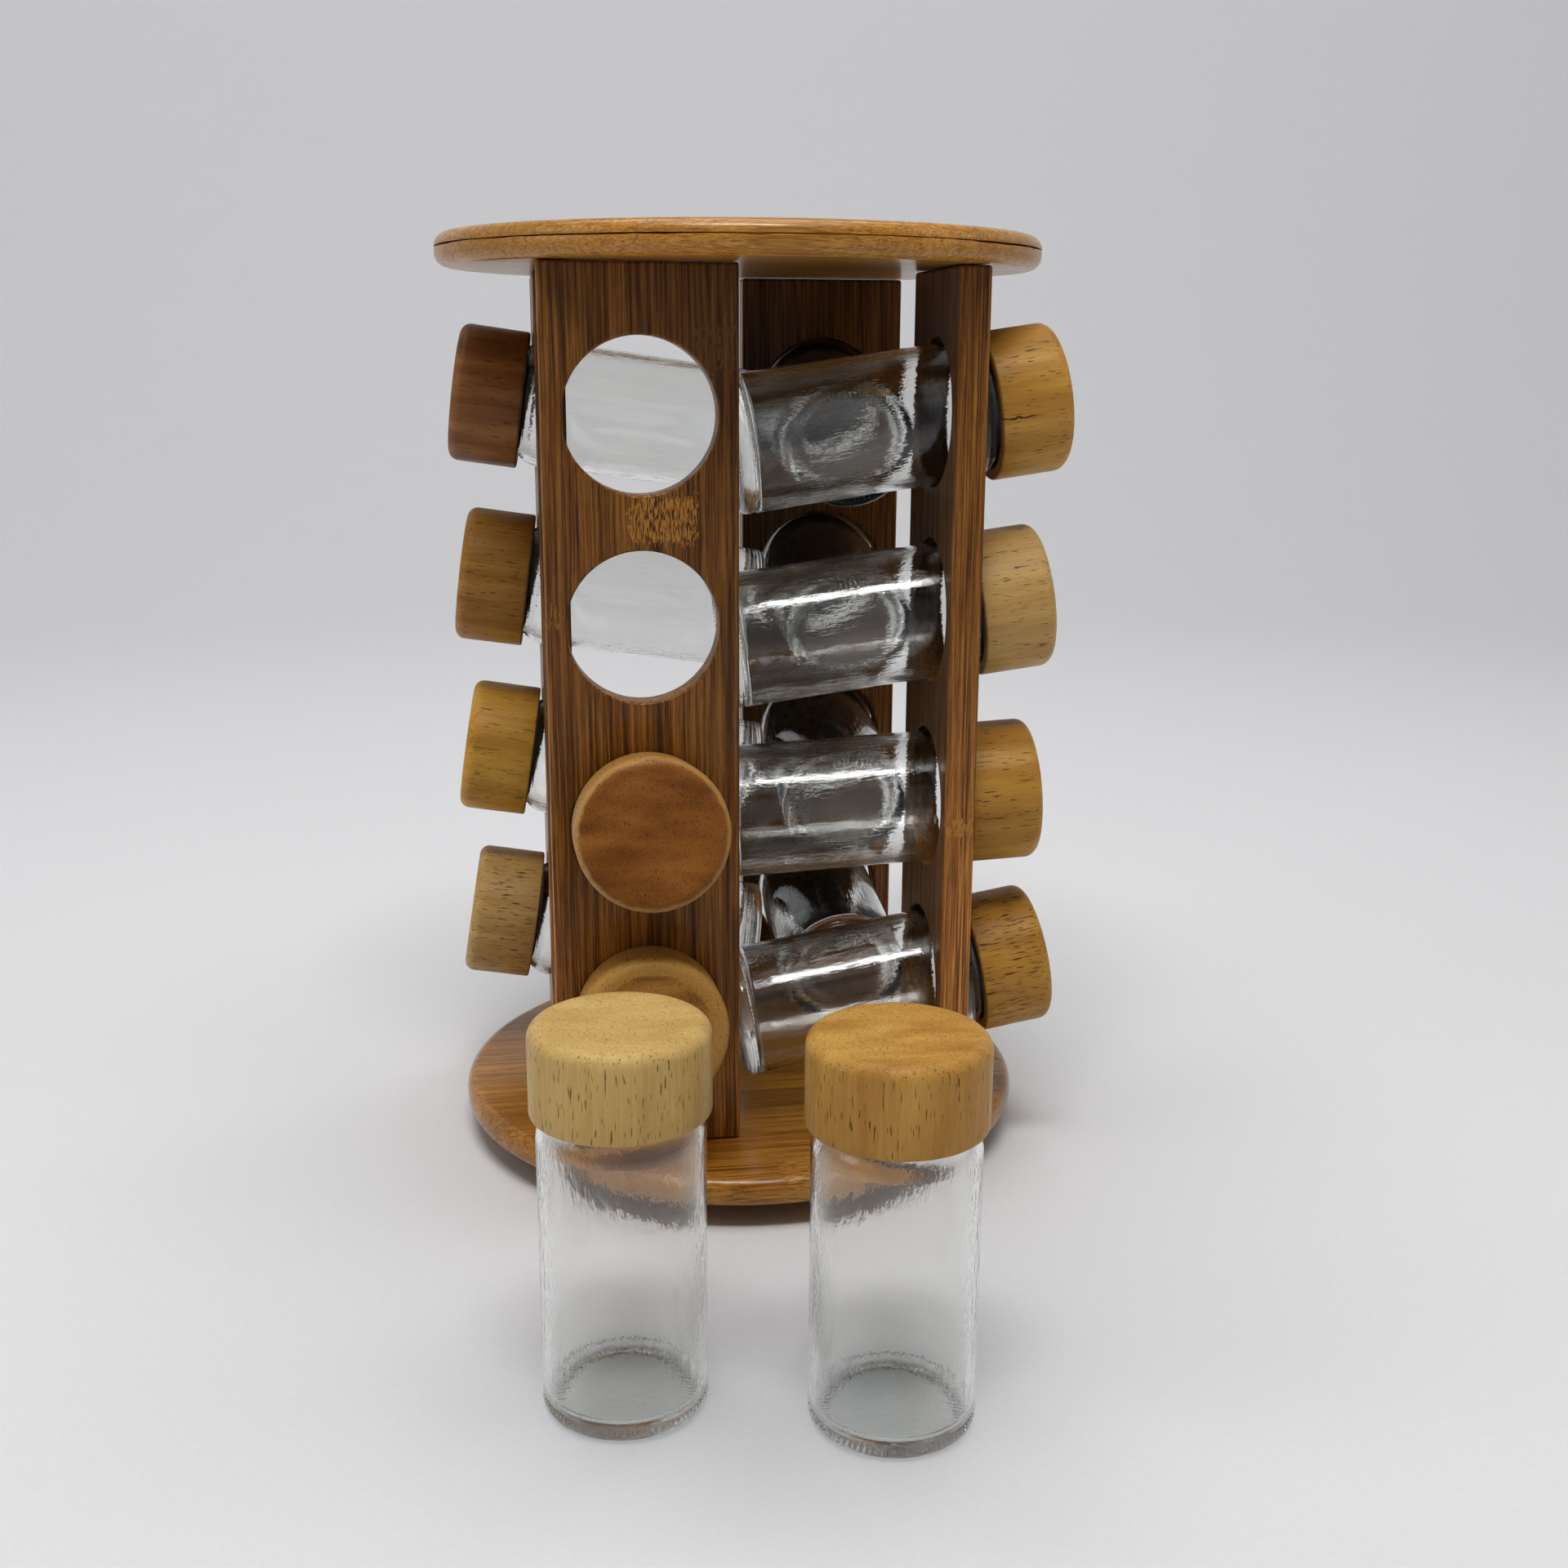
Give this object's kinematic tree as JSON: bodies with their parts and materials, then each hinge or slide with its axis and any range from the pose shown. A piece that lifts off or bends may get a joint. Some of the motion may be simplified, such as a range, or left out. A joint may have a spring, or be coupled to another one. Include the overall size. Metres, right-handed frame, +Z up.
{
  "type": "spice carousel",
  "caption": "Revolving spice rack: bamboo discs joined by pierced bamboo panels that hold capped glass jars lying tilted, plus loose jars standing beside it.",
  "frame": {"origin": "on the turning axis at table height, in the middle of the rubber pad's underside", "axes": "+Z up along the turning axis, -Y out of the panel that faces the two loose jars, +X to the right seen from there"},
  "size_m": [0.2035, 0.327, 0.311],
  "materials": {
    "bamboo_panel": "satin",
    "bamboo_top": "satin",
    "bamboo_base": "semi-gloss",
    "cap_pale": "satin",
    "cap_honey": "satin",
    "cap_brown": "satin",
    "clear_glass": "polished",
    "sifter_plastic": "translucent",
    "steel": "plain",
    "rubber": "matte"
  },
  "bodies": {
    "foot": {"foot_pad": "rubber", "lower_plate": "steel", "pivot_pin": "steel"},
    "ball_ring": {"ball_cage": "steel"},
    "rack": {"upper_plate": "steel", "base_disc": "bamboo_base", "top_disc": "bamboo_top", "panel_front": "bamboo_panel", "panel_right": "bamboo_panel", "panel_back": "bamboo_panel", "panel_left": "bamboo_panel"},
    "jar_front_3": {"glass_front_3": "clear_glass", "sifter_front_3": "sifter_plastic"},
    "lid_front_3": {"cap_front_3": "cap_brown"},
    "jar_front_4": {"glass_front_4": "clear_glass", "sifter_front_4": "sifter_plastic"},
    "lid_front_4": {"cap_front_4": "cap_honey"},
    "jar_right_1": {"glass_right_1": "clear_glass", "sifter_right_1": "sifter_plastic"},
    "lid_right_1": {"cap_right_1": "cap_honey"},
    "jar_right_2": {"glass_right_2": "clear_glass", "sifter_right_2": "sifter_plastic"},
    "lid_right_2": {"cap_right_2": "cap_honey"},
    "jar_right_3": {"glass_right_3": "clear_glass", "sifter_right_3": "sifter_plastic"},
    "lid_right_3": {"cap_right_3": "cap_honey"},
    "jar_right_4": {"glass_right_4": "clear_glass", "sifter_right_4": "sifter_plastic"},
    "lid_right_4": {"cap_right_4": "cap_honey"},
    "jar_back_1": {"glass_back_1": "clear_glass", "sifter_back_1": "sifter_plastic"},
    "lid_back_1": {"cap_back_1": "cap_honey"},
    "jar_back_2": {"glass_back_2": "clear_glass", "sifter_back_2": "sifter_plastic"},
    "lid_back_2": {"cap_back_2": "cap_pale"},
    "jar_back_3": {"glass_back_3": "clear_glass", "sifter_back_3": "sifter_plastic"},
    "lid_back_3": {"cap_back_3": "cap_honey"},
    "jar_back_4": {"glass_back_4": "clear_glass", "sifter_back_4": "sifter_plastic"},
    "lid_back_4": {"cap_back_4": "cap_brown"},
    "jar_left_1": {"glass_left_1": "clear_glass", "sifter_left_1": "sifter_plastic"},
    "lid_left_1": {"cap_left_1": "cap_brown"},
    "jar_left_2": {"glass_left_2": "clear_glass", "sifter_left_2": "sifter_plastic"},
    "lid_left_2": {"cap_left_2": "cap_honey"},
    "jar_left_3": {"glass_left_3": "clear_glass", "sifter_left_3": "sifter_plastic"},
    "lid_left_3": {"cap_left_3": "cap_pale"},
    "jar_left_4": {"glass_left_4": "clear_glass", "sifter_left_4": "sifter_plastic"},
    "lid_left_4": {"cap_left_4": "cap_honey"},
    "jar_table_1": {"glass_table_1": "clear_glass", "sifter_table_1": "sifter_plastic"},
    "lid_table_1": {"cap_table_1": "cap_pale"},
    "jar_table_2": {"glass_table_2": "clear_glass", "sifter_table_2": "sifter_plastic"},
    "lid_table_2": {"cap_table_2": "cap_honey"}
  },
  "joints": [
    {"name": "rack_spin", "type": "hinge", "parent": "foot", "child": "rack", "pos_m": [0, 0, 0.0083], "axis": [0, 0, 1], "continuous": true},
    {"name": "ball_ring_spin", "type": "hinge", "parent": "foot", "child": "ball_ring", "pos_m": [0, 0, 0.0052], "axis": [0, 0, 1], "continuous": true},
    {"name": "pull_front_3", "type": "slide", "parent": "rack", "child": "jar_front_3", "axis": [0, -0.986, 0.1668], "range_m": [0, 0.09]},
    {"name": "uncap_front_3", "type": "slide", "parent": "jar_front_3", "child": "lid_front_3", "axis": [0, -0.986, 0.1668], "range_m": [0, 0.03]},
    {"name": "pull_front_4", "type": "slide", "parent": "rack", "child": "jar_front_4", "axis": [-0.0207, -0.9864, 0.1633], "range_m": [0, 0.057]},
    {"name": "uncap_front_4", "type": "slide", "parent": "jar_front_4", "child": "lid_front_4", "axis": [-0.0207, -0.9864, 0.1633], "range_m": [0, 0.03]},
    {"name": "pull_right_1", "type": "slide", "parent": "rack", "child": "jar_right_1", "axis": [0.9893, 0, 0.1461], "range_m": [0, 0.09]},
    {"name": "uncap_right_1", "type": "slide", "parent": "jar_right_1", "child": "lid_right_1", "axis": [0.9893, 0, 0.1461], "range_m": [0, 0.03]},
    {"name": "pull_right_2", "type": "slide", "parent": "rack", "child": "jar_right_2", "axis": [0.9895, -0.038, 0.1392], "range_m": [0, 0.09]},
    {"name": "uncap_right_2", "type": "slide", "parent": "jar_right_2", "child": "lid_right_2", "axis": [0.9895, -0.038, 0.1392], "range_m": [0, 0.03]},
    {"name": "pull_right_3", "type": "slide", "parent": "rack", "child": "jar_right_3", "axis": [0.9967, -0.0522, 0.0628], "range_m": [0, 0.09]},
    {"name": "uncap_right_3", "type": "slide", "parent": "jar_right_3", "child": "lid_right_3", "axis": [0.9967, -0.0522, 0.0628], "range_m": [0, 0.03]},
    {"name": "pull_right_4", "type": "slide", "parent": "rack", "child": "jar_right_4", "axis": [0.986, 0, 0.1668], "range_m": [0, 0.09]},
    {"name": "uncap_right_4", "type": "slide", "parent": "jar_right_4", "child": "lid_right_4", "axis": [0.986, 0, 0.1668], "range_m": [0, 0.03]},
    {"name": "pull_back_1", "type": "slide", "parent": "rack", "child": "jar_back_1", "axis": [0.0241, 0.9868, 0.1599], "range_m": [0, 0.09]},
    {"name": "uncap_back_1", "type": "slide", "parent": "jar_back_1", "child": "lid_back_1", "axis": [0.0241, 0.9868, 0.1599], "range_m": [0, 0.03]},
    {"name": "pull_back_2", "type": "slide", "parent": "rack", "child": "jar_back_2", "axis": [0.0069, 0.9863, 0.165], "range_m": [0, 0.09]},
    {"name": "uncap_back_2", "type": "slide", "parent": "jar_back_2", "child": "lid_back_2", "axis": [0.0069, 0.9863, 0.165], "range_m": [0, 0.03]},
    {"name": "pull_back_3", "type": "slide", "parent": "rack", "child": "jar_back_3", "axis": [0.0276, 0.9886, 0.1478], "range_m": [0, 0.09]},
    {"name": "uncap_back_3", "type": "slide", "parent": "jar_back_3", "child": "lid_back_3", "axis": [0.0276, 0.9886, 0.1478], "range_m": [0, 0.03]},
    {"name": "pull_back_4", "type": "slide", "parent": "rack", "child": "jar_back_4", "axis": [0.0034, 0.9871, 0.1599], "range_m": [0, 0.09]},
    {"name": "uncap_back_4", "type": "slide", "parent": "jar_back_4", "child": "lid_back_4", "axis": [0.0034, 0.9871, 0.1599], "range_m": [0, 0.03]},
    {"name": "pull_left_1", "type": "slide", "parent": "rack", "child": "jar_left_1", "axis": [-0.9895, 0.038, 0.1392], "range_m": [0, 0.09]},
    {"name": "uncap_left_1", "type": "slide", "parent": "jar_left_1", "child": "lid_left_1", "axis": [-0.9895, 0.038, 0.1392], "range_m": [0, 0.03]},
    {"name": "pull_left_2", "type": "slide", "parent": "rack", "child": "jar_left_2", "axis": [-0.9895, 0.038, 0.1392], "range_m": [0, 0.09]},
    {"name": "uncap_left_2", "type": "slide", "parent": "jar_left_2", "child": "lid_left_2", "axis": [-0.9895, 0.038, 0.1392], "range_m": [0, 0.03]},
    {"name": "pull_left_3", "type": "slide", "parent": "rack", "child": "jar_left_3", "axis": [-0.9871, 0.0345, 0.1564], "range_m": [0, 0.09]},
    {"name": "uncap_left_3", "type": "slide", "parent": "jar_left_3", "child": "lid_left_3", "axis": [-0.9871, 0.0345, 0.1564], "range_m": [0, 0.03]},
    {"name": "pull_left_4", "type": "slide", "parent": "rack", "child": "jar_left_4", "axis": [-0.9861, 0.0293, 0.1633], "range_m": [0, 0.09]},
    {"name": "uncap_left_4", "type": "slide", "parent": "jar_left_4", "child": "lid_left_4", "axis": [-0.9861, 0.0293, 0.1633], "range_m": [0, 0.03]},
    {"name": "lift_table_1", "type": "slide", "parent": "foot", "child": "jar_table_1", "axis": [0, 0, 1], "range_m": [0, 0.32]},
    {"name": "uncap_table_1", "type": "slide", "parent": "jar_table_1", "child": "lid_table_1", "axis": [0, 0, 1], "range_m": [0, 0.03]},
    {"name": "lift_table_2", "type": "slide", "parent": "foot", "child": "jar_table_2", "axis": [0, 0, 1], "range_m": [0, 0.32]},
    {"name": "uncap_table_2", "type": "slide", "parent": "jar_table_2", "child": "lid_table_2", "axis": [0, 0, 1], "range_m": [0, 0.03]}
  ],
  "couplings": [
    {"joint": "ball_ring_spin", "follows": "rack_spin", "ratio": 0.5}
  ]
}
